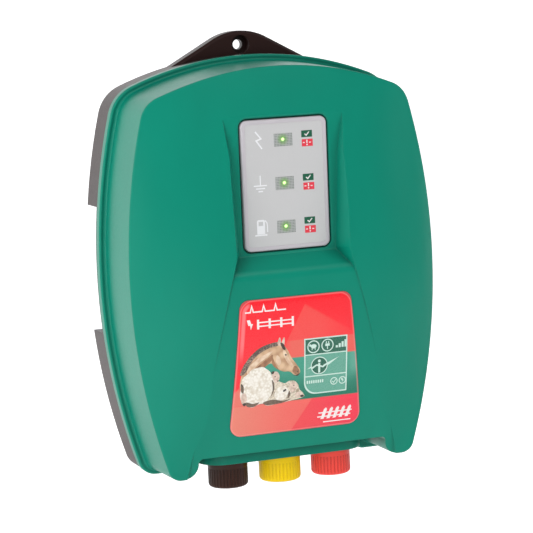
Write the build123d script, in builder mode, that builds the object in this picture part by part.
from build123d import *
import math
import os

# Wall-hung electric fence energizer: two-part case, three screw terminals, display, electronics.
#
# Millimetres. +X is to the right of someone facing the case, the wall is the plane Y = 0, the
# front faces -Y and +Z is up. The origin is on the axis of the hanging hole, where it meets the
# wall. Most shapes are drawn as seen from the front, with heights measured from the waist of the
# case (its widest level) and depths measured forwards from the wall.

# ---- case outline, seen from the front ----------------------------------------------------
HALF_WIDTH = 109.7        # half the widest width of the case
WIDEST_H = 2.0            # height of the widest level above the waist plane
SIDE_RADIUS = 413.0       # the long bowed sides
APEX_H = 137.8            # top of the case
TOP_RADIUS = 218.0        # the bowed top
TOP_CORNER = 25.0
BASE_H = -130.3           # lowest line of the case
BASE_CORNER = 12.0

# ---- depths from the wall -----------------------------------------------------------------
SPLIT = 24.0              # where the rear housing meets the front cover
LEDGE = 30.5              # front of the flange round the cover
RIM = 74.0                # crisp edge round the domed face
RIM_ROUND = 1.0
DEEPEST = 100.0           # a depth in front of everything

# ---- cover --------------------------------------------------------------------------------
FLANGE_WALL = 3.2
LEDGE_WIDTH = 4.2         # ledge between the flange and the body of the cover
LEDGE_EDGE = 1.5          # rounding of its outer edge
LEDGE_HOLLOW = 1.8        # hollow rounding at the foot of the body
DRAFT = 2.9               # degrees, sides of the body
BODY_WALL = 2.8
CROWN_TOP = 92.4          # depth of the dome at its highest point
CROWN_H = 8.0             # height of that point
CROWN_RADIUS = 466.0      # dome, seen from the side
FOOT_BASE_H = -126.8      # bottom of the two feet of the body
BODY_BASE_H = -114.2      # front lower edge between the feet
FOOT_INNER = 64.5         # inner side of each foot, from the centre
FOOT_ROUND = 9.0

# ---- flat middle column of the cover: display above, label below ----------------------------
COLUMN_DROP = 1.4         # how far the column lies under the dome
COLUMN_DRAFT = 25.0       # degrees, sides of the column
COLUMN_BASE = 60.0        # depth at which the outline of the column is drawn
RECESS_TOP_H = 112.0      # the recess runs out into the dome a little below this
RECESS_LOW_H = 13.0
SHELF_H = 2.0             # front edge of the shelf under the display
COLUMN_EDGE = [           # half widths of the column at COLUMN_BASE, and their heights
    (31.4, RECESS_TOP_H),
    (25.7, 78.0),
    (23.1, RECESS_LOW_H),
    (25.2, SHELF_H + 2),
    (43.3, -60.0),
    (74.0, -150.0),
]
PANEL_LEAN = 0.0245       # the display leans forwards by this much per millimetre of height
PANEL_FLOOR = 78.2        # depth of the pocket floor, carried down to the waist
POCKET_DEEP = 2.2         # pocket that the display sits in, sunk into the recess
POCKET_GAP = 0.5
LIP_ROUND = 1.8

# ---- display ------------------------------------------------------------------------------
BEZEL_HALF = 28.9
BEZEL_LOW_H = 15.4
BEZEL_HIGH_H = 98.4
BEZEL_THICK = 3.0
BEZEL_ROUND = 4.4
BEZEL_SOFT = 1.1          # rounding of its front edge
FOIL_HALF = 26.1
FOIL_ROUND = 2.5
FOIL_THICK = 0.4
FOIL_SUNK = 0.1           # how far the foil lies under the rim of the bezel
ROW_PITCH = 27.5          # three indicator rows
ROW_MIDDLE_H = 57.5
WINDOW_SIZE = (12.4, 8.2)
WINDOW_X = -0.6
LIGHT_PIPE_GAP = 0.05     # round the foil and the windows
DISPLAY_BOARD = 13.1      # back of the display board behind the recess floor
DISPLAY_BOARD_THICK = 1.6
DISPLAY_FIXINGS = [(0, ROW_PITCH + 13), (0, -ROW_PITCH - 11)]
DISPLAY_SCREW_RADIUS = 1.25

# ---- label --------------------------------------------------------------------------------
LABEL_THICK = 0.9
LABEL_TOP_H = -13.5
LABEL_LOW_H = -102.0
LABEL_TOP_HALF = 37.4
LABEL_LOW_HALF = 45.1
LABEL_TOP_ROUND = 6.0
LABEL_LOW_ROUND = 8.0

# ---- terminals ----------------------------------------------------------------------------
TERMINAL_PITCH = 36.0
TERMINAL_DEPTH = 46.4
BAY_HALF = 56.0           # splash guard round the knobs
BAY_FRONT = 63.0
BAY_WALL = 1.6
BAY_RIM_H = -122.6
STUD_RADIUS = 4.0         # M8
THREAD_CLEARANCE = 0.02   # threads are drawn as plain cylinders of the outer size
BUSH_RADIUS = 5.95        # the part of the bush that passes through the cover
BUSH_FLANGE = 1.8
STUD_COLLAR = 1.2
LUG_THICK = 1.0
LUG_REACH = 13.0          # from the stud to the middle of the crimp
SEAL_THICK = 1.5
WASHER_THICK = 1.2
INSERT_RADIUS = 6.0
KNOB_TOP_H = -117.25
KNOB_BASE_H = -139.6
KNOB_RADIUS = 13.0
WIDE_KNOB_RADIUS = 13.7
RIB_COUNT = 36

# ---- rear housing -------------------------------------------------------------------------
REAR_WALL = 3.5
BACK_THICK = 3.0
GRIP_LOW_H = -36.0        # hand grips let into the sides
GRIP_HIGH_H = 46.0
GRIP_DEEP = 8.0
HOLE_H = 144.0            # hanging hole
HOLE_RADIUS = 3.25
HOLE_RECESS_RADIUS = 6.1
HOLE_RECESS_DEEP = 6.0
TAB_THICK = 11.0
WAIST_Z = -HOLE_H
FLOOR_H = BASE_H + 11     # floor inside the case
INLET_DEPTH = 12.0        # power inlet in the floor
INLET_SCREW_X = 17.5
PIN_TAIL = 17.0           # height of the pins above the floor

# ---- fixings and board --------------------------------------------------------------------
CASE_SCREWS = [(82.0, 98.0), (91.0, 5.0), (78.0, -99.0)]
SCREW_RADIUS = 2.0
SCREW_POST = 4.6
BOARD_DEPTH = 9.4
BOARD_THICK = 1.6
BOARD_HALF = 74.0
BOARD_LOW_H = -92.0
BOARD_HIGH_H = 100.0
BOARD_SCREWS = [(68.0, 94.0), (68.0, 4.0), (68.0, -86.0)]
BOARD_TOP = BOARD_DEPTH + BOARD_THICK
SMALL_SCREW_RADIUS = 1.5  # M3: board, inlet and thyristor
SMALL_SCREW_HEAD = (2.8, 2.0)
SMALL_SCREW_SOCKET = 1.0


def front_plane(depth):
    """A plane facing forwards; its own axes are x and the height above the waist."""
    return Plane(origin=(0, -depth, WAIST_Z), x_dir=(1, 0, 0), z_dir=(0, -1, 0))


def side_plane(x=0.0):
    """A plane seen from the right; its own axes are the depth and the height."""
    return Plane(origin=(x, 0, WAIST_Z), x_dir=(0, -1, 0), z_dir=(-1, 0, 0))


def under_plane(height):
    """A plane seen from below; its own axes are x and the depth, and it faces down."""
    return Plane(origin=(0, 0, WAIST_Z + height), x_dir=(1, 0, 0), z_dir=(0, 0, -1))


def panel_plane(raised):
    """A plane on the leaning display, raised above the recess floor, centred on the middle row."""
    depth = PANEL_FLOOR + PANEL_LEAN * ROW_MIDDLE_H
    origin = (0, -depth, WAIST_Z + ROW_MIDDLE_H)
    return Plane(origin=origin, x_dir=(1, 0, 0), z_dir=(0, -1, -PANEL_LEAN)).offset(raised)


def ridge_depth(height, drop=0.0):
    """Depth of the dome along its middle line, which is an arc, lowered by drop."""
    rise = math.sqrt(CROWN_RADIUS**2 - (height - CROWN_H) ** 2)
    return CROWN_TOP - CROWN_RADIUS + rise - drop


def both_sides(points):
    """The points and their mirror images on the left."""
    return points + [(-x, y) for x, y in points]


def save(name, part):
    """Label the finished piece and write it to its own file."""
    part.label = name
    export_step(part, f"parts/{name}.step")


def terminals(depth=TERMINAL_DEPTH):
    """Centres of the three terminals, seen from below."""
    return [(-TERMINAL_PITCH, depth), (0, depth), (TERMINAL_PITCH, depth)]


# ---- outlines -----------------------------------------------------------------------------
def case_outline(inset, base_h, base_corner):
    """Draw the case as seen from the front, moved inwards by inset and cut off at base_h."""
    reach = SIDE_RADIUS - HALF_WIDTH
    with Locations((-reach, WIDEST_H)):
        Circle(SIDE_RADIUS - inset)
    with Locations((reach, WIDEST_H)):
        Circle(SIDE_RADIUS - inset, mode=Mode.INTERSECT)
    with Locations((0, APEX_H - TOP_RADIUS)):
        Circle(TOP_RADIUS - inset, mode=Mode.INTERSECT)
    with Locations((0, base_h)):
        Rectangle(3 * HALF_WIDTH, 3 * APEX_H, align=(Align.CENTER, Align.MIN), mode=Mode.INTERSECT)
    fillet(vertices().group_by(Axis.Y)[-1], TOP_CORNER - inset)
    fillet(vertices().group_by(Axis.Y)[0], base_corner)


def flange_outline(inset):
    """Draw the outline shared by the housing and the flange: raised base with two low lobes."""
    case_outline(inset, BASE_H + inset, BASE_CORNER - inset)
    top_half = 58
    low_half = 67
    side_h = -124.6 + inset
    middle_h = -126.2 + inset
    low_h = BASE_H - 3
    with BuildLine(mode=Mode.PRIVATE) as notch:
        Polyline((-top_half, side_h), (-low_half, low_h), (low_half, low_h), (top_half, side_h))
        ThreePointArc((top_half, side_h), (0, middle_h), (-top_half, side_h))
    make_face(notch.edges(), mode=Mode.SUBTRACT)
    lobes = [v for v in vertices() if abs(v.Y - BASE_H - inset) < 0.01 and abs(v.X) < 70]
    fillet(lobes, 8)


def crown_face(drop):
    """The domed front surface, lowered by drop: a ridge down the middle that rolls off to the rim."""
    reach = SIDE_RADIUS - HALF_WIDTH
    side_radius = SIDE_RADIUS - LEDGE_WIDTH - (RIM - LEDGE) * math.tan(math.radians(DRAFT))
    steps = 13
    lowest, highest = -140.0, 144.0
    widest = 115.0
    grid = []
    for i in range(steps):
        height = lowest + (highest - lowest) * i / (steps - 1)
        half = math.sqrt(side_radius**2 - (height - WIDEST_H) ** 2) - reach
        ridge = ridge_depth(height)
        row = []
        for j in range(steps):
            x = widest * (2 * j / (steps - 1) - 1)
            depth = RIM + (ridge - RIM) * (1 - (x / half) ** 4) - drop
            row.append(Vector(x, -depth, WAIST_Z + height))
        grid.append(row)
    return Face.make_surface_from_array_of_points(grid, tol=0.02)


# ---- blocks that shape the cover ------------------------------------------------------------
def body_block(wall):
    """Drafted body of the cover with its domed front, moved inwards by wall."""
    far_inset = LEDGE_WIDTH + wall + (DEEPEST - LEDGE) * math.tan(math.radians(DRAFT))
    base_h = FOOT_BASE_H + wall
    corner = FOOT_ROUND - wall
    with BuildPart() as block:
        with BuildSketch(front_plane(LEDGE)):
            case_outline(LEDGE_WIDTH + wall, base_h, corner)
        with BuildSketch(front_plane(DEEPEST)):
            case_outline(far_inset, base_h, corner)
        loft(ruled=True)
        extrude(crown_face(wall), amount=60, dir=(0, -1, 0), mode=Mode.SUBTRACT)
        if not wall:
            fillet(faces().sort_by(Axis.Y)[0].edges(), RIM_ROUND)
    return block.part


def column_block(grow):
    """Everything in front of the flat middle column, grown by grow on all sides."""
    low_h = COLUMN_EDGE[-1][1]
    shelf_round = 9.0
    hollow_round = 2.5
    drop = COLUMN_DROP + grow
    floor = PANEL_FLOOR + POCKET_DEEP
    if grow:
        floor = PANEL_FLOOR - grow
    shelf = (ridge_depth(SHELF_H, drop), SHELF_H - grow / 2)
    middle = (ridge_depth(-60, drop), -60)
    lowest = (ridge_depth(low_h, drop), low_h)
    hollow = (floor + PANEL_LEAN * RECESS_LOW_H, RECESS_LOW_H - grow / 2)
    floor_top = (floor + PANEL_LEAN * RECESS_TOP_H, RECESS_TOP_H)
    with BuildPart() as block:
        with BuildSketch(side_plane()):
            with BuildLine():
                Polyline(
                    lowest, (DEEPEST, low_h), (DEEPEST, RECESS_TOP_H), floor_top, hollow, shelf
                )
                ThreePointArc(shelf, middle, lowest)
            make_face()
            fillet(vertices().sort_by_distance(shelf)[0], shelf_round + grow)
            fillet(vertices().sort_by_distance(hollow)[0], hollow_round)
        extrude(amount=80, both=True)
        with BuildSketch(front_plane(COLUMN_BASE)):
            with BuildLine():
                Polyline(*COLUMN_EDGE, *[(-x, h) for x, h in COLUMN_EDGE[::-1]], close=True)
            make_face()
            if grow:
                offset(amount=grow)
        extrude(amount=DEEPEST - COLUMN_BASE, taper=-COLUMN_DRAFT, mode=Mode.INTERSECT)
    return block.part


def between_feet(grow):
    """The space below the body between its two feet, grown by grow."""
    wall_x = FOOT_INNER + grow
    round_x = FOOT_INNER + FOOT_ROUND
    round_h = FOOT_BASE_H + FOOT_ROUND
    low_h = BASE_H - 10
    arch_round = 3
    with BuildPart() as block:
        with BuildSketch(front_plane(LEDGE - grow)):
            with BuildLine():
                Polyline(
                    (0, low_h), (0, BODY_BASE_H + grow), (wall_x, BODY_BASE_H + grow), (wall_x, round_h)
                )
                RadiusArc((wall_x, round_h), (round_x, FOOT_BASE_H + grow), -(FOOT_ROUND - grow))
                Polyline((round_x, FOOT_BASE_H + grow), (round_x, low_h), (0, low_h))
            make_face()
            upper = [v for v in vertices().group_by(Axis.Y)[-1] if v.X > 1]
            fillet(upper, arch_round)
            mirror(about=Plane.YZ)
        extrude(amount=DEEPEST - LEDGE + grow)
    return block.part


def bay_block(grow, top_h, low_h):
    """Space round the knobs, seen from below a rectangle with rounded front corners."""
    back = 31.5
    corner = 15
    with BuildPart() as block:
        with BuildSketch(under_plane(top_h)):
            with Locations((0, back - grow)):
                Rectangle(
                    2 * (BAY_HALF - BAY_WALL + grow),
                    BAY_FRONT - BAY_WALL - back + 2 * grow,
                    align=(Align.CENTER, Align.MIN),
                )
            fillet(vertices().group_by(Axis.Y)[-1], corner + grow)
        extrude(amount=top_h - low_h)
    return block.part


# ---- front cover --------------------------------------------------------------------------
def cover_hollow():
    """The inside of the cover, with the screw bosses left standing in it."""
    with BuildPart() as hollow:
        with BuildSketch(front_plane(SPLIT)):
            case_outline(FLANGE_WALL, FLOOR_H, BASE_CORNER)
        extrude(amount=LEDGE - SPLIT - 3)
        with BuildSketch(front_plane(SPLIT)):
            case_outline(LEDGE_WIDTH + BODY_WALL, FOOT_BASE_H + BODY_WALL + 6, FOOT_ROUND)
        extrude(amount=LEDGE - SPLIT)
        add(body_block(BODY_WALL))
        add(column_block(BODY_WALL), mode=Mode.SUBTRACT)
        add(between_feet(BODY_WALL), mode=Mode.SUBTRACT)
        add(bay_block(BODY_WALL, BODY_BASE_H + BODY_WALL, BASE_H - 5), mode=Mode.SUBTRACT)
        with BuildSketch(front_plane(SPLIT)):
            with Locations(*both_sides(CASE_SCREWS)):
                Circle(SCREW_POST)
        extrude(amount=DEEPEST - SPLIT, mode=Mode.SUBTRACT)
    return hollow.part


def make_front_cover():
    pilot_deep = 16
    dowel_radius = 3
    dowel_tall = 9.5
    with BuildPart() as front_cover:
        with BuildSketch(front_plane(SPLIT)):
            flange_outline(0)
        extrude(amount=LEDGE - SPLIT)
        fillet(faces().sort_by(Axis.Y)[0].outer_wire().edges(), LEDGE_EDGE)
        add(body_block(0))
        add(column_block(0), mode=Mode.SUBTRACT)
        add(between_feet(0), mode=Mode.SUBTRACT)
        ledge = faces().filter_by_position(Axis.Y, -LEDGE, -LEDGE).sort_by(SortBy.AREA)[-1]
        fillet(ledge.inner_wires()[0].edges(), LEDGE_HOLLOW)
        add(bay_block(BAY_WALL, BODY_BASE_H + 1, BAY_RIM_H))
        add(bay_block(0, BODY_BASE_H, BASE_H - 5), mode=Mode.SUBTRACT)
        # pocket for the display, with a rounded lip
        with BuildSketch(panel_plane(0)):
            with Locations((0, bezel_middle())):
                RectangleRounded(
                    2 * (BEZEL_HALF + POCKET_GAP),
                    BEZEL_HIGH_H - BEZEL_LOW_H + 2 * POCKET_GAP,
                    BEZEL_ROUND + POCKET_GAP,
                )
        extrude(amount=20, mode=Mode.SUBTRACT)
        lip_plane = panel_plane(0)
        rim_edges = [
            e for e in edges(Select.LAST)
            if abs(lip_plane.to_local_coords(e @ 0.5).Z - POCKET_DEEP) < 0.2
        ]
        fillet(rim_edges, LIP_ROUND)
        add(cover_hollow(), mode=Mode.SUBTRACT)
        # pilot holes for the case screws
        with BuildSketch(front_plane(SPLIT)):
            with Locations(*both_sides(CASE_SCREWS)):
                Circle(SCREW_RADIUS + THREAD_CLEARANCE)
        extrude(amount=pilot_deep, mode=Mode.SUBTRACT)
        # openings behind the three indicator windows
        with BuildSketch(panel_plane(-8)):
            with Locations(*window_spots()):
                Rectangle(WINDOW_SIZE[0] - 2, WINDOW_SIZE[1] - 2)
        extrude(amount=12, mode=Mode.SUBTRACT)
        # holes for the terminal bushes
        with BuildSketch(under_plane(BODY_BASE_H + 6)):
            with Locations(*terminals()):
                Circle(BUSH_RADIUS + 0.05)
        extrude(amount=8, mode=Mode.SUBTRACT)
        # two dowels that hold the display board
        with BuildSketch(panel_plane(DISPLAY_BOARD_THICK - DISPLAY_BOARD)):
            with Locations(*DISPLAY_FIXINGS):
                Circle(dowel_radius)
                Circle(DISPLAY_SCREW_RADIUS + THREAD_CLEARANCE, mode=Mode.SUBTRACT)
        extrude(amount=dowel_tall)
    save("front_cover", front_cover.part)


# ---- rear housing -------------------------------------------------------------------------
def grip_bar(inset, margin):
    """Side strips of the case at the height of the grips, outside the given inset."""
    middle = (GRIP_HIGH_H + GRIP_LOW_H) / 2
    tall = GRIP_HIGH_H - GRIP_LOW_H + 2 * margin
    reach = SIDE_RADIUS - HALF_WIDTH
    with Locations((0, middle)):
        Rectangle(3 * HALF_WIDTH, tall)
    with Locations((0, middle)):
        Rectangle(160, tall, mode=Mode.SUBTRACT)
    with BuildSketch(mode=Mode.PRIVATE) as inner:
        with Locations((-reach, WIDEST_H)):
            Circle(SIDE_RADIUS - inset)
        with Locations((reach, WIDEST_H)):
            Circle(SIDE_RADIUS - inset, mode=Mode.INTERSECT)
    add(inner.sketch, mode=Mode.SUBTRACT)


def make_rear_housing():
    rim_deep = 3.0
    board_post = 4.0
    head_pocket = (4.2, 12.0)
    tab_chamfer = 1.7
    groove_deep = 1.2
    inlet_opening = (27.0, 13.0)
    with BuildPart() as rear_housing:
        with BuildSketch(front_plane(0)):
            flange_outline(0.5)
        extrude(amount=SPLIT)
        with BuildSketch(front_plane(0)):
            case_outline(REAR_WALL + 0.5, FLOOR_H, BASE_CORNER)
            with BuildSketch(mode=Mode.PRIVATE) as walls:
                grip_bar(GRIP_DEEP + REAR_WALL, REAR_WALL)
            add(walls.sketch, mode=Mode.SUBTRACT)
        extrude(amount=SPLIT, mode=Mode.SUBTRACT)
        with BuildSketch(front_plane(0)):
            case_outline(REAR_WALL, BASE_H + 6, BASE_CORNER)
        extrude(amount=BACK_THICK)
        # grips, open to the wall and the side, with the sealing rim left in front
        with BuildSketch(front_plane(0)):
            grip_bar(GRIP_DEEP, 0)
        extrude(amount=SPLIT - rim_deep, mode=Mode.SUBTRACT)
        # hanging tab
        with BuildSketch(front_plane(0)):
            with BuildLine():
                Polyline((17, 149), (60, 125.4), (40, 118), (-40, 118), (-60, 125.4), (-17, 149))
                ThreePointArc((-17, 149), (0, 153), (17, 149))
            make_face()
        extrude(amount=TAB_THICK)
        crest = edges().filter_by_position(Axis.Y, -TAB_THICK, -TAB_THICK)
        crest = crest.filter_by_position(Axis.Z, WAIST_Z + 138, 20)
        chamfer(crest, tab_chamfer)
        # posts for the case screws and for the board
        with BuildSketch(front_plane(BACK_THICK)):
            with Locations(*both_sides(CASE_SCREWS)):
                Circle(SCREW_POST)
        extrude(amount=SPLIT - BACK_THICK)
        with BuildSketch(front_plane(BACK_THICK)):
            with Locations(*both_sides(BOARD_SCREWS)):
                Circle(board_post)
        extrude(amount=BOARD_DEPTH - BACK_THICK)
        for x, h in both_sides(CASE_SCREWS):
            with Locations(Plane(front_plane(0).from_local_coords((x, h, 0)), z_dir=(0, 1, 0))):
                CounterBoreHole(SCREW_RADIUS + 0.3, *head_pocket)
        with BuildSketch(front_plane(BOARD_DEPTH)):
            with Locations(*both_sides(BOARD_SCREWS)):
                Circle(SMALL_SCREW_RADIUS + THREAD_CLEARANCE)
        extrude(amount=-5.5, mode=Mode.SUBTRACT)
        # hanging hole, with a recess round it at the front
        with BuildSketch(front_plane(0)):
            with Locations((0, HOLE_H)):
                Circle(HOLE_RADIUS)
        extrude(amount=TAB_THICK, mode=Mode.SUBTRACT)
        with BuildSketch(front_plane(TAB_THICK)):
            with Locations((0, HOLE_H)):
                Circle(HOLE_RECESS_RADIUS)
        extrude(amount=-HOLE_RECESS_DEEP, mode=Mode.SUBTRACT)
        # groove for the seal
        with BuildSketch(front_plane(SPLIT)):
            case_outline(1.5, BASE_H + 8.5, BASE_CORNER - 2)
            with BuildSketch(mode=Mode.PRIVATE) as inside:
                case_outline(3.1, BASE_H + 10.1, BASE_CORNER - 3.6)
            add(inside.sketch, mode=Mode.SUBTRACT)
        extrude(amount=-groove_deep, mode=Mode.SUBTRACT)
        # opening for the power inlet in the base
        with BuildSketch(under_plane(FLOOR_H)):
            with Locations((0, INLET_DEPTH)):
                Rectangle(*inlet_opening)
        extrude(amount=20, mode=Mode.SUBTRACT)
        with BuildSketch(under_plane(FLOOR_H)):
            with Locations((-INLET_SCREW_X, INLET_DEPTH), (INLET_SCREW_X, INLET_DEPTH)):
                Circle(SMALL_SCREW_RADIUS + THREAD_CLEARANCE)
        extrude(amount=4.5, mode=Mode.SUBTRACT)
    save("rear_housing", rear_housing.part)


def make_cover_seal():
    with BuildPart() as cover_seal:
        with BuildSketch(front_plane(SPLIT - 1.2)):
            case_outline(1.6, BASE_H + 8.6, BASE_CORNER - 2.1)
            with BuildSketch(mode=Mode.PRIVATE) as inside:
                case_outline(3.0, BASE_H + 10, BASE_CORNER - 3.5)
            add(inside.sketch, mode=Mode.SUBTRACT)
        extrude(amount=1.2)
    save("cover_seal", cover_seal.part)


def screw(radius, length, head_radius, head_tall, slot):
    """A screw along +Z with its head's underside at the origin and a six-lobe socket."""
    with BuildPart() as part:
        with BuildSketch():
            Circle(radius)
        extrude(amount=length)
        with BuildSketch():
            Circle(head_radius)
        extrude(amount=-head_tall)
        fillet(faces().sort_by(Axis.Z)[0].edges(), head_tall * 0.35)
        with BuildSketch(Plane.XY.offset(-head_tall)):
            Circle(slot)
            with PolarLocations(slot, 6):
                Circle(slot * 0.28)
        extrude(amount=head_tall * 0.6, mode=Mode.SUBTRACT)
        chamfer(edges().filter_by(GeomType.CIRCLE).sort_by(Axis.Z)[-1], radius * 0.3)
    return part.part


def small_screw(length):
    """An M3 screw."""
    return screw(SMALL_SCREW_RADIUS, length, *SMALL_SCREW_HEAD, SMALL_SCREW_SOCKET)


def make_case_screws():
    head_seat = 12
    blank = screw(SCREW_RADIUS, 26, 3.9, 2.8, 1.5)
    with BuildPart() as cover_screws:
        for x, h in both_sides(CASE_SCREWS):
            spot = front_plane(head_seat).from_local_coords((x, h, 0))
            with Locations(Plane(spot, z_dir=(0, -1, 0))):
                add(blank)
    save("cover_screws", cover_screws.part)


# ---- display ------------------------------------------------------------------------------
def bezel_middle():
    """Height of the bezel's centre above the middle row."""
    return (BEZEL_HIGH_H + BEZEL_LOW_H) / 2 - ROW_MIDDLE_H


def window_spots():
    """Centres of the three windows on the display."""
    return [(WINDOW_X, step * ROW_PITCH) for step in (-1, 0, 1)]


def make_display():
    tall = BEZEL_HIGH_H - BEZEL_LOW_H
    rim = BEZEL_HALF - FOIL_HALF
    with BuildPart() as display_bezel:
        with BuildSketch(panel_plane(0)):
            with Locations((0, bezel_middle())):
                RectangleRounded(2 * BEZEL_HALF, tall, BEZEL_ROUND)
        extrude(amount=BEZEL_THICK)
        fillet(faces().sort_by(Axis.Y)[0].edges(), BEZEL_SOFT)
        with BuildSketch(panel_plane(BEZEL_THICK)):
            with Locations((0, bezel_middle())):
                RectangleRounded(2 * FOIL_HALF, tall - 2 * rim, FOIL_ROUND + LIGHT_PIPE_GAP)
        extrude(amount=-FOIL_THICK - FOIL_SUNK, mode=Mode.SUBTRACT)
        with BuildSketch(panel_plane(0)):
            with Locations(*window_spots()):
                Rectangle(*WINDOW_SIZE)
        extrude(amount=BEZEL_THICK, mode=Mode.SUBTRACT)
    save("display_bezel", display_bezel.part)

    with BuildPart() as display_foil:
        with BuildSketch(panel_plane(BEZEL_THICK - FOIL_THICK - FOIL_SUNK)):
            with Locations((0, bezel_middle())):
                RectangleRounded(
                    2 * (FOIL_HALF - LIGHT_PIPE_GAP), tall - 2 * (rim + LIGHT_PIPE_GAP), FOIL_ROUND
                )
            with Locations(*window_spots()):
                Rectangle(*WINDOW_SIZE, mode=Mode.SUBTRACT)
        extrude(amount=FOIL_THICK)
    save("display_foil", display_foil.part)

    with BuildPart() as indicator_windows:
        with BuildSketch(panel_plane(LIGHT_PIPE_GAP)):
            with Locations(*window_spots()):
                Rectangle(*[size - 2 * LIGHT_PIPE_GAP for size in WINDOW_SIZE])
        extrude(amount=BEZEL_THICK - FOIL_SUNK - LIGHT_PIPE_GAP)
    save("indicator_windows", indicator_windows.part)

    with BuildPart() as display_board:
        with BuildSketch(panel_plane(-DISPLAY_BOARD)):
            Rectangle(44, 84)
            with Locations(*DISPLAY_FIXINGS):
                Circle(DISPLAY_SCREW_RADIUS + 0.15, mode=Mode.SUBTRACT)
        extrude(amount=DISPLAY_BOARD_THICK)
    save("display_board", display_board.part)

    led_radius = 2.5
    led_collar = 1.0
    led_back = DISPLAY_BOARD_THICK - DISPLAY_BOARD
    with BuildPart() as indicator_leds:
        with BuildSketch(panel_plane(led_back)):
            with Locations(*window_spots()):
                Circle(led_radius + 0.4)
        extrude(amount=led_collar)
        with BuildSketch(panel_plane(led_back + led_collar)):
            with Locations(*window_spots()):
                Circle(led_radius)
        extrude(amount=7.6)
        fillet(faces().group_by(Axis.Y)[0].edges(), led_radius - 0.3)
    save("indicator_leds", indicator_leds.part)

    blank = screw(DISPLAY_SCREW_RADIUS, 6.5, 2.5, 1.8, 0.9)
    board_back = panel_plane(-DISPLAY_BOARD)
    with BuildPart() as display_screws:
        for x, y in DISPLAY_FIXINGS:
            with Locations(Plane(board_back.from_local_coords((x, y, 0)), z_dir=board_back.z_dir)):
                add(blank)
    save("display_screws", display_screws.part)

    plug = 6.0
    cable_x = -18
    low_end = BOARD_TOP + plug
    high_end = PANEL_FLOOR + PANEL_LEAN * 20 - DISPLAY_BOARD - 0.2
    low_h, high_h = 6, 24
    with BuildPart() as display_cable:
        with BuildSketch(side_plane(cable_x)):
            with BuildLine():
                Polyline(
                    (high_end - plug, high_h),
                    (high_end - plug, high_h - 4),
                    (high_end - plug - 8, low_h + 6),
                    (low_end + 10, low_h),
                    (low_end, low_h),
                )
                offset(amount=0.6, side=Side.BOTH)
            make_face()
        extrude(amount=8, both=True)
        with BuildSketch(side_plane(cable_x)):
            with Locations((high_end - 3.2, high_h)):
                Rectangle(plug + 0.4, plug)
            with Locations((low_end - plug / 2, low_h)):
                Rectangle(plug, plug)
        extrude(amount=10, both=True)
    save("display_cable", display_cable.part)


def make_name_label():
    """A thin domed label on the lower part of the flat column."""
    spots = (LABEL_TOP_H + 6, (LABEL_TOP_H + LABEL_LOW_H) / 2, LABEL_LOW_H - 6)
    back = [(ridge_depth(h, COLUMN_DROP), h) for h in spots]
    front = [(depth + LABEL_THICK, h) for depth, h in back]
    upper = [(LABEL_TOP_HALF, LABEL_TOP_H), (-LABEL_TOP_HALF, LABEL_TOP_H)]
    lower = [(-LABEL_LOW_HALF, LABEL_LOW_H), (LABEL_LOW_HALF, LABEL_LOW_H)]
    with BuildPart() as name_label:
        with BuildSketch(side_plane()):
            with BuildLine():
                ThreePointArc(*back)
                Line(back[-1], front[-1])
                ThreePointArc(*front[::-1])
                Line(front[0], back[0])
            make_face()
        extrude(amount=60, both=True)
        with BuildSketch(front_plane(60)):
            with BuildLine():
                Polyline(*upper, *lower, close=True)
            make_face()
            fillet(vertices().group_by(Axis.Y)[-1], LABEL_TOP_ROUND)
            fillet(vertices().group_by(Axis.Y)[0], LABEL_LOW_ROUND)
        extrude(amount=40, mode=Mode.INTERSECT)
    save("name_label", name_label.part)


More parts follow.
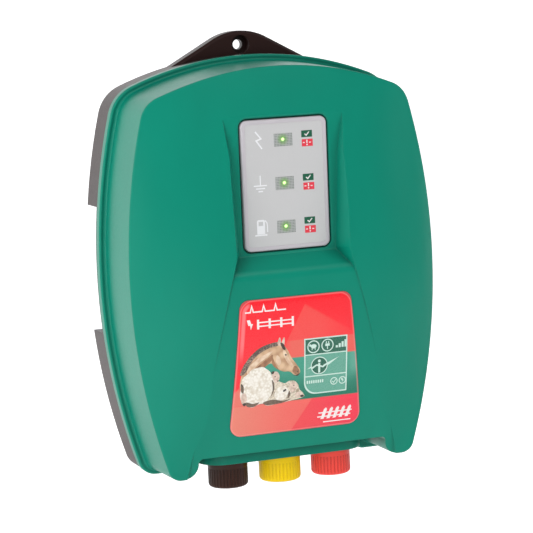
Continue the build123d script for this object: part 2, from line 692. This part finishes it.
# ---- terminals ----------------------------------------------------------------------------
def make_terminal_fixings():
    inner = BODY_BASE_H + BODY_WALL
    seat_h = BODY_BASE_H - BUSH_FLANGE
    collar_radius = 5.45
    stud_top_h = -100
    stud_tall = 34
    with BuildPart() as terminal_bushes:
        with BuildSketch(under_plane(BODY_BASE_H)):
            with Locations(*terminals()):
                Circle(10)
        extrude(amount=BUSH_FLANGE)
        with BuildSketch(under_plane(BODY_BASE_H)):
            with Locations(*terminals()):
                Circle(BUSH_RADIUS)
        extrude(amount=-BODY_WALL - SEAL_THICK)
        with BuildSketch(under_plane(seat_h)):
            with Locations(*terminals()):
                Circle(collar_radius + 0.1)
        extrude(amount=-STUD_COLLAR, mode=Mode.SUBTRACT)
        with BuildSketch(under_plane(seat_h)):
            with Locations(*terminals()):
                Circle(STUD_RADIUS + THREAD_CLEARANCE)
        extrude(amount=-10, mode=Mode.SUBTRACT)
    save("terminal_bushes", terminal_bushes.part)

    with BuildPart() as stud_seals:
        with BuildSketch(under_plane(inner)):
            with Locations(*terminals()):
                Circle(9)
                Circle(BUSH_RADIUS + 0.05, mode=Mode.SUBTRACT)
        extrude(amount=-SEAL_THICK)
    save("stud_seals", stud_seals.part)

    with BuildPart() as terminal_studs:
        with BuildSketch(under_plane(stud_top_h)):
            with Locations(*terminals()):
                Circle(STUD_RADIUS)
        extrude(amount=stud_tall)
        chamfer(edges().filter_by(GeomType.CIRCLE), 0.7)
        with BuildSketch(under_plane(seat_h + STUD_COLLAR)):
            with Locations(*terminals()):
                Circle(collar_radius)
        extrude(amount=STUD_COLLAR)
    save("terminal_studs", terminal_studs.part)

    lug_h = inner + SEAL_THICK
    with BuildPart() as ring_lugs:
        with BuildSketch(under_plane(lug_h + LUG_THICK)):
            with Locations(*terminals()):
                Circle(7.5)
            with Locations(*terminals(TERMINAL_DEPTH - 9.5)):
                Rectangle(7, 13)
            with Locations(*terminals()):
                Circle(STUD_RADIUS + 0.1, mode=Mode.SUBTRACT)
        extrude(amount=LUG_THICK)
        with BuildSketch(under_plane(lug_h + LUG_THICK)):
            with Locations(*terminals(TERMINAL_DEPTH - LUG_REACH)):
                Rectangle(5, 5)
        extrude(amount=-5)
    save("ring_lugs", ring_lugs.part)

    nut_half = 6.5
    nut_tall = 6.5
    with BuildPart() as stud_nuts:
        with BuildSketch(under_plane(lug_h + LUG_THICK)):
            with Locations(*terminals()):
                RegularPolygon(nut_half, 6, major_radius=False)
                Circle(STUD_RADIUS + THREAD_CLEARANCE, mode=Mode.SUBTRACT)
        extrude(amount=-nut_tall)
    save("stud_nuts", stud_nuts.part)


def make_clamp_washer(name, x):
    radius = 10.5
    with BuildPart() as washer:
        with BuildSketch(under_plane(BODY_BASE_H - BUSH_FLANGE)):
            with Locations((x, TERMINAL_DEPTH)):
                Circle(radius)
                Circle(STUD_RADIUS + 0.3, mode=Mode.SUBTRACT)
        extrude(amount=WASHER_THICK)
        fillet(edges().filter_by(GeomType.CIRCLE).sort_by(SortBy.RADIUS)[-2:], 0.3)
    save(f"washer_{name}", washer.part)


def make_knob(name, x, radius, rib_radius):
    """Ribbed screw cap: smooth collar above, ribbed grip below, threaded insert in the middle."""
    collar_h = -127.0
    insert_tall = 14.0
    insert_sunk = 1.0
    tip_bore = (4.6, 7.0)
    hub_radius = 8.0
    grip_wall = 2.6
    pocket_deep = 17.0
    with BuildPart() as knob:
        with BuildSketch(under_plane(KNOB_TOP_H)):
            with Locations((x, TERMINAL_DEPTH)):
                Circle(radius)
        extrude(amount=KNOB_TOP_H - KNOB_BASE_H)
        rims = edges().filter_by(GeomType.CIRCLE).sort_by(Axis.Z)
        fillet(rims[0], 2.4)
        fillet(rims[-1], 0.8)
        with BuildSketch(under_plane(collar_h)):
            with Locations((x, TERMINAL_DEPTH)):
                with PolarLocations(radius + rib_radius * 0.2, RIB_COUNT):
                    Circle(rib_radius)
        extrude(amount=collar_h - KNOB_BASE_H, mode=Mode.SUBTRACT)
        with BuildSketch(under_plane(KNOB_TOP_H)):
            with Locations((x, TERMINAL_DEPTH)):
                Circle(INSERT_RADIUS)
        extrude(amount=insert_tall + insert_sunk, mode=Mode.SUBTRACT)
        with BuildSketch(under_plane(KNOB_TOP_H - insert_tall)):
            with Locations((x, TERMINAL_DEPTH)):
                Circle(tip_bore[0])
        extrude(amount=tip_bore[1], mode=Mode.SUBTRACT)
        # weight-saving pocket between the hub and the grip, open at the top
        with BuildSketch(under_plane(KNOB_TOP_H)):
            with Locations((x, TERMINAL_DEPTH)):
                Circle(radius - grip_wall)
                Circle(hub_radius, mode=Mode.SUBTRACT)
        extrude(amount=pocket_deep, mode=Mode.SUBTRACT)
    save(f"knob_{name}", knob.part)

    with BuildPart() as insert:
        with BuildSketch(under_plane(KNOB_TOP_H - insert_sunk)):
            with Locations((x, TERMINAL_DEPTH)):
                Circle(INSERT_RADIUS)
                Circle(STUD_RADIUS + THREAD_CLEARANCE, mode=Mode.SUBTRACT)
        extrude(amount=insert_tall)
        chamfer(edges().filter_by(GeomType.CIRCLE).group_by(SortBy.RADIUS)[0], 0.5)
    save(f"knob_insert_{name}", insert.part)


# ---- electronics --------------------------------------------------------------------------
def make_main_board():
    tall = BOARD_HIGH_H - BOARD_LOW_H
    with BuildPart() as main_board:
        with BuildSketch(front_plane(BOARD_DEPTH)):
            with Locations((0, (BOARD_HIGH_H + BOARD_LOW_H) / 2)):
                Rectangle(2 * BOARD_HALF, tall)
            chamfer(vertices(), 3)
            with Locations(*both_sides(BOARD_SCREWS)):
                Circle(SMALL_SCREW_RADIUS + 0.2, mode=Mode.SUBTRACT)
        extrude(amount=BOARD_THICK)
    save("main_board", main_board.part)

    blank = small_screw(6)
    with BuildPart() as board_screws:
        for x, h in both_sides(BOARD_SCREWS):
            spot = front_plane(BOARD_TOP).from_local_coords((x, h, 0))
            with Locations(Plane(spot, z_dir=(0, 1, 0))):
                add(blank)
    save("board_screws", board_screws.part)


def make_wound_core(name, x, h, core, window, stack, coil_deep):
    """An E core pair with its bobbin and winding, lying on the board.

    core is the outer size seen from the front, window the size of each winding window, stack the
    thickness of the core and coil_deep the overall depth of the winding.
    """
    leg = core[0] / 2 - window[0]
    bottom = BOARD_TOP
    middle = bottom + coil_deep / 2 + 1
    with BuildPart() as iron:
        with BuildSketch(front_plane(middle)):
            with Locations((x, h)):
                Rectangle(*core)
            for side in (-1, 1):
                with Locations((x + side * (leg / 2 + window[0] / 2), h)):
                    Rectangle(*window, mode=Mode.SUBTRACT)
        extrude(amount=stack / 2, both=True)
    save(f"{name}_core", iron.part)

    tube = 1.2
    flange = 1.5
    gap = 0.1
    with BuildPart() as bobbin:
        with BuildSketch(under_plane(h + window[1] / 2 - gap)):
            with Locations((x, middle)):
                Rectangle(leg + 2 * tube + 2 * gap, stack + 2 * tube + 2 * gap)
        extrude(amount=window[1] - 2 * gap)
        for level in (h + window[1] / 2 - gap, h - window[1] / 2 + gap + flange):
            with BuildSketch(under_plane(level)):
                with Locations((x, middle)):
                    Rectangle(leg + 2 * window[0] - 1, coil_deep + 2)
            extrude(amount=flange)
        with BuildSketch(under_plane(h + window[1] / 2)):
            with Locations((x, middle)):
                Rectangle(leg + 2 * gap, stack + 2 * gap)
        extrude(amount=window[1], mode=Mode.SUBTRACT)
    save(f"{name}_bobbin", bobbin.part)

    with BuildPart() as winding:
        with BuildSketch(under_plane(h + window[1] / 2 - gap - flange)):
            with Locations((x, middle)):
                RectangleRounded(leg + 2 * window[0] - 2, coil_deep - 0.5, 4)
                Rectangle(leg + 2 * tube + 2 * gap, stack + 2 * tube + 2 * gap, mode=Mode.SUBTRACT)
        extrude(amount=window[1] - 2 * gap - 2 * flange)
    save(f"{name}_winding", winding.part)


def make_storage_capacitors():
    pitch = 42
    middle_h = 62
    size = (30, 57, 45)
    with BuildPart() as storage_capacitors:
        with BuildSketch(front_plane(BOARD_TOP)):
            with Locations((-pitch, middle_h), (0, middle_h), (pitch, middle_h)):
                Rectangle(size[0], size[1])
        extrude(amount=size[2])
        fillet(edges().filter_by(Axis.Y), 1.5)
        fillet(faces().group_by(Axis.Y)[0].edges(), 0.8)
    save("storage_capacitors", storage_capacitors.part)


def make_switch():
    """The thyristor that fires the pulse, screwed to its heatsink."""
    x = -48
    plate_h = -58
    lift = BOARD_TOP + 22
    plate_thick = 4
    package_thick = 5
    fin_pitch = 7
    with BuildPart() as heatsink:
        with BuildSketch(front_plane(BOARD_TOP)):
            with Locations((x, plate_h)):
                Rectangle(44, plate_thick, align=(Align.CENTER, Align.MAX))
            with Locations((x, plate_h - 10)):
                with GridLocations(fin_pitch, 0, 7, 1):
                    Rectangle(2, 16)
        extrude(amount=36)
        with BuildSketch(under_plane(plate_h)):
            with Locations((x, lift)):
                Circle(SMALL_SCREW_RADIUS + THREAD_CLEARANCE)
        extrude(amount=plate_thick, mode=Mode.SUBTRACT)
    save("heatsink", heatsink.part)

    with BuildPart() as thyristor:
        with BuildSketch(under_plane(plate_h + package_thick)):
            with Locations((x, lift)):
                Rectangle(16, 21)
                Circle(SMALL_SCREW_RADIUS + 0.2, mode=Mode.SUBTRACT)
        extrude(amount=package_thick)
        chamfer(edges().filter_by(Axis.Y).group_by(Axis.Z)[-1], 0.8)
        with BuildSketch(front_plane(BOARD_TOP)):
            with Locations((x, plate_h + 2.4)):
                with GridLocations(5.45, 0, 3, 1):
                    Rectangle(1.2, 0.7)
        extrude(amount=12)
    save("thyristor", thyristor.part)

    with BuildPart() as thyristor_screw:
        spot = Plane(origin=(x, -lift, WAIST_Z + plate_h + package_thick), z_dir=(0, 0, -1))
        with Locations(spot):
            add(small_screw(8))
    save("thyristor_screw", thyristor_screw.part)


def make_small_parts():
    with BuildPart() as smoothing_capacitor:
        with BuildSketch(front_plane(BOARD_TOP)):
            with Locations((-10, -30)):
                Circle(11)
        extrude(amount=34)
        fillet(edges().filter_by(GeomType.CIRCLE).group_by(Axis.Y)[0], 1.2)
        fillet(edges().filter_by(GeomType.CIRCLE).group_by(Axis.Y)[-1], 0.8)
    save("smoothing_capacitor", smoothing_capacitor.part)

    fuse_depth = BOARD_TOP + 6
    cap_radius = 2.6
    fuse_spot = Plane(origin=(-8, -fuse_depth, WAIST_Z - 80), x_dir=(0, 0, 1), z_dir=(1, 0, 0))
    with BuildPart() as supply_fuse:
        with BuildSketch(fuse_spot):
            Circle(2.2)
        extrude(amount=5, both=True)
        for side in (-1, 1):
            with BuildSketch(fuse_spot.offset(side * 5)):
                Circle(cap_radius)
            extrude(amount=side * 5)
    save("supply_fuse", supply_fuse.part)

    with BuildPart() as fuse_clips:
        for side in (-1, 1):
            with BuildSketch(fuse_spot.offset(side * 7.5)):
                Circle(3.2)
                with Locations((0, -3.9)):
                    Rectangle(4.4, 4.2)
                Circle(cap_radius, mode=Mode.SUBTRACT)
                with Locations((0, 3.4)):
                    Rectangle(3.2, 3.4, mode=Mode.SUBTRACT)
            extrude(amount=1.8, both=True)
    save("fuse_clips", fuse_clips.part)

    with BuildPart() as surge_absorber:
        with BuildSketch(Plane(origin=(18, -BOARD_TOP - 9, WAIST_Z - 80), z_dir=(1, 0, 0))):
            Circle(7)
        extrude(amount=2.2, both=True)
        fillet(edges().filter_by(GeomType.CIRCLE), 0.9)
        with BuildSketch(front_plane(BOARD_TOP)):
            with Locations((18, -84), (18, -76)):
                Circle(0.5)
        extrude(amount=4)
    save("surge_absorber", surge_absorber.part)

    with BuildPart() as control_chip:
        with BuildSketch(front_plane(BOARD_TOP + 1)):
            with Locations((30, 4)):
                Rectangle(26, 7.6)
        extrude(amount=3.4)
        chamfer(faces().sort_by(Axis.Y)[0].edges(), 0.4)
        with BuildSketch(front_plane(BOARD_TOP)):
            with Locations((30, 4)):
                with GridLocations(2.54, 8, 10, 2):
                    Rectangle(0.6, 1.2)
        extrude(amount=3)
    save("control_chip", control_chip.part)


def make_power_inlet():
    flange_tall = 2.5
    hood_tall = 14
    floor_tall = 5.4
    pins = [(-4, INLET_DEPTH), (4, INLET_DEPTH)]
    pin_radius = 1.2
    with BuildPart() as power_inlet:
        with BuildSketch(under_plane(FLOOR_H + flange_tall)):
            with Locations((0, INLET_DEPTH)):
                RectangleRounded(43, 15.6, 3)
                with Locations((-INLET_SCREW_X, 0), (INLET_SCREW_X, 0)):
                    Circle(SMALL_SCREW_RADIUS + 0.1, mode=Mode.SUBTRACT)
        extrude(amount=flange_tall)
        with BuildSketch(under_plane(FLOOR_H + hood_tall)):
            with Locations((0, INLET_DEPTH)):
                Rectangle(24, 12)
        extrude(amount=hood_tall)
        with BuildSketch(under_plane(FLOOR_H)):
            with Locations((0, INLET_DEPTH)):
                Rectangle(26.9, 12.9)
        extrude(amount=floor_tall)
        with BuildSketch(under_plane(FLOOR_H - floor_tall)):
            with Locations((0, INLET_DEPTH)):
                SlotOverall(16.5, 8)
        extrude(amount=-15, mode=Mode.SUBTRACT)
        with BuildSketch(under_plane(FLOOR_H + hood_tall)):
            with Locations(*pins):
                Circle(pin_radius + THREAD_CLEARANCE)
        extrude(amount=10, mode=Mode.SUBTRACT)
    save("power_inlet", power_inlet.part)

    with BuildPart() as inlet_pins:
        with BuildSketch(under_plane(FLOOR_H + PIN_TAIL)):
            with Locations(*pins):
                Circle(pin_radius)
        extrude(amount=20)
        fillet(edges().filter_by(GeomType.CIRCLE).group_by(Axis.Z)[0], 0.8)
    save("inlet_pins", inlet_pins.part)

    blank = small_screw(6)
    with BuildPart() as inlet_screws:
        for x in (-INLET_SCREW_X, INLET_SCREW_X):
            spot = Plane(origin=(x, -INLET_DEPTH, WAIST_Z + FLOOR_H + flange_tall), z_dir=(0, 0, -1))
            with Locations(spot):
                add(blank)
    save("inlet_screws", inlet_screws.part)


def wire(points, radius):
    """A round wire through points given as x, depth and height, from a lug or pin to the board."""
    corners = [Vector(x, -depth, WAIST_Z + height) for x, depth, height in points]
    with BuildPart() as strand:
        with BuildLine() as path:
            Spline(*corners, tangents=[(0, 0, 1), (0, 1, 0)])
        with BuildSketch(Plane(origin=corners[0], z_dir=(0, 0, 1))):
            Circle(radius)
        sweep()
    return strand.part


def make_wires():
    start_h = -103.9
    lug_depth = TERMINAL_DEPTH - LUG_REACH
    routes = {
        "earth": [(-36, lug_depth, start_h), (-36, 27, -95), (-36, 18, -88), (-36, BOARD_TOP, -85)],
        "low_power": [(0, lug_depth, start_h), (3, 30, -92), (9, 21, -77), (11, BOARD_TOP, -73)],
        "fence": [(36, lug_depth, start_h), (36, 28, -94), (36, 19, -83), (36, BOARD_TOP, -80)],
    }
    for name, route in routes.items():
        save(f"wire_{name}", wire(route, 1.2))
    with BuildPart() as supply_wires:
        for x in (-4, 4):
            start = (x, INLET_DEPTH, FLOOR_H + PIN_TAIL)
            add(wire([start, (x, 13.5, -96), (x, 14, -90), (x, BOARD_TOP, -86)], 0.9))
    save("supply_wires", supply_wires.part)


def build_all():
    make_front_cover()
    make_rear_housing()
    make_cover_seal()
    make_case_screws()
    make_display()
    make_name_label()
    make_terminal_fixings()
    for name, x, radius, rib in (
        ("earth", -TERMINAL_PITCH, KNOB_RADIUS, 0.7),
        ("low_power", 0, WIDE_KNOB_RADIUS, 0.5),
        ("fence", TERMINAL_PITCH, KNOB_RADIUS, 0.55),
    ):
        make_clamp_washer(name, x)
        make_knob(name, x, radius, rib)
    make_main_board()
    make_wound_core("pulse_transformer", 36, -42, (56, 48), (12, 32), 20, 41)
    make_wound_core("supply_transformer", -48, -18, (34, 28), (7.5, 18), 12, 26)
    make_storage_capacitors()
    make_switch()
    make_small_parts()
    make_power_inlet()
    make_wires()


os.makedirs("parts", exist_ok=True)
build_all()
